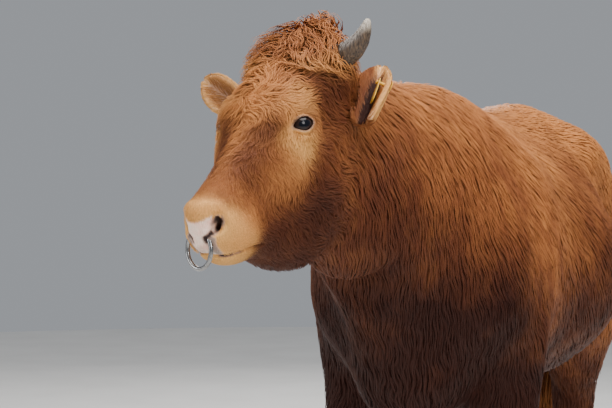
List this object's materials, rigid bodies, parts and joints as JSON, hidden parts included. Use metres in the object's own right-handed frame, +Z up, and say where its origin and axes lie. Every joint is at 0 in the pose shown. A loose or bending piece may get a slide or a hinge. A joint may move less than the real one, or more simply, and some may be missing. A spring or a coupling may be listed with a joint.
{
  "type": "bull",
  "caption": "Red-brown young beef bull in a shaggy winter coat, standing, head lowered and turned, with short horns, a steel nose ring and a bare ear tag.",
  "frame": {"origin": "on the ground, under the middle of the whole animal's box", "axes": "+Z up; the body faces -Y; +X is towards the animal's own left"},
  "size_m": [0.6686, 2.2298, 1.388],
  "materials": {
    "coat": "long matt winter hair",
    "neck_coat": "long matt winter hair in locks",
    "head_coat": "curly hair on the brow, short hair on the face",
    "ear": "short soft hair, pale skin inside",
    "tail_coat": "coarse hair",
    "horn": "ridged grey horn, waxy",
    "claw": "dark horn, satin",
    "eye": "wet",
    "nose_ring": "polished steel, worn",
    "ear_tag": "bare moulded plastic"
  },
  "bodies": {
    "root": {"trunk": "coat", "foreleg_left": "coat", "foreleg_right": "coat", "hindleg_left": "coat", "hindleg_right": "coat", "neck": "neck_coat", "head": "head_coat", "ear_left": "ear", "ear_right": "ear", "tail": "tail_coat", "tail_switch": "tail_coat", "horn_left": "horn", "horn_right": "horn", "eye_left": "eye", "eye_right": "eye", "nose_ring": "nose_ring", "ear_tag_panel": "ear_tag", "ear_tag_stud": "ear_tag", "claw_fore_left_outer": "claw", "dewclaw_fore_left_outer": "claw", "claw_fore_left_inner": "claw", "dewclaw_fore_left_inner": "claw", "claw_fore_right_outer": "claw", "dewclaw_fore_right_outer": "claw", "claw_fore_right_inner": "claw", "dewclaw_fore_right_inner": "claw", "claw_hind_left_outer": "claw", "dewclaw_hind_left_outer": "claw", "claw_hind_left_inner": "claw", "dewclaw_hind_left_inner": "claw", "claw_hind_right_outer": "claw", "dewclaw_hind_right_outer": "claw", "claw_hind_right_inner": "claw", "dewclaw_hind_right_inner": "claw"}
  },
  "joints": []
}
